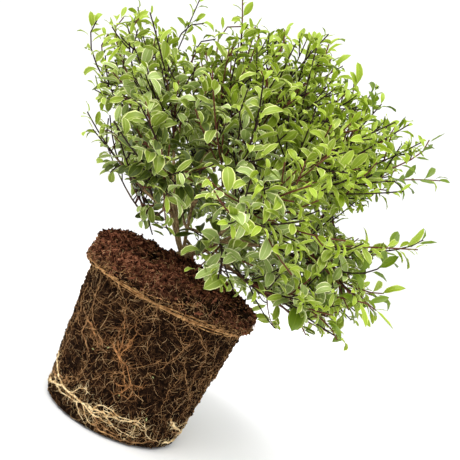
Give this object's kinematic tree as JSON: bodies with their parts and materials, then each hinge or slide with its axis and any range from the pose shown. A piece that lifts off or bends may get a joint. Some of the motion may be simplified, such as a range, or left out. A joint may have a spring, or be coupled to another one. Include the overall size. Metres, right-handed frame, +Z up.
{
  "type": "silver ball pittosporum on its root ball",
  "caption": "Round evergreen shrub standing on its bare root ball: thin forking stems rise from a short flared trunk and carry masses of small pale-edged leaves.",
  "frame": {"origin": "centre of the flat underside of the root ball", "axes": "+Z up the trunk, +X to the right and +Y to the back of the plant as it is seen from its front"},
  "size_m": [0.3917, 0.3391, 0.4138],
  "materials": {
    "soil": "dark, crumbly, fibrous potting soil, matt",
    "root": "tan, fibrous root, matt",
    "pale_root": "young cream root, smooth, slightly moist",
    "bark": "thin tan-brown bark, purple-brown on young wood, matt",
    "foliage": "light green leaves with cream edges, softly glossy above"
  },
  "bodies": {
    "root": {"root_ball": "soil", "rim_root": "root", "foot_root": "pale_root", "trunk": "bark", "stem_left": "bark", "stem_front_left": "bark", "stem_front_right": "bark", "stem_right": "bark", "stem_back": "bark", "bough_skirt_1": "bark", "bough_skirt_2": "bark", "bough_skirt_3": "bark", "bough_lower_1": "bark", "bough_lower_2": "bark", "bough_lower_3": "bark", "bough_lower_4": "bark", "bough_lower_5": "bark", "bough_lower_6": "bark", "bough_lower_7": "bark", "bough_lower_8": "bark", "bough_upper_1": "bark", "bough_upper_4": "bark", "bough_top_1": "bark", "bough_top_2": "bark", "bough_top_3": "bark", "bough_top_4": "bark", "foliage_skirt_1": "foliage", "foliage_skirt_2": "foliage", "foliage_skirt_3": "foliage", "foliage_lower_1": "foliage", "foliage_lower_2": "foliage", "foliage_lower_3": "foliage", "foliage_lower_4": "foliage", "foliage_lower_5": "foliage", "foliage_lower_6": "foliage", "foliage_lower_7": "foliage", "foliage_lower_8": "foliage", "foliage_upper_1": "foliage", "foliage_upper_2": "foliage", "foliage_upper_3": "foliage", "foliage_upper_4": "foliage", "foliage_upper_5": "foliage", "foliage_upper_6": "foliage", "foliage_upper_7": "foliage", "foliage_top_1": "foliage", "foliage_top_2": "foliage", "foliage_top_3": "foliage", "foliage_top_4": "foliage", "foliage_hanging_left": "foliage", "foliage_hanging_front": "foliage"}
  },
  "joints": []
}
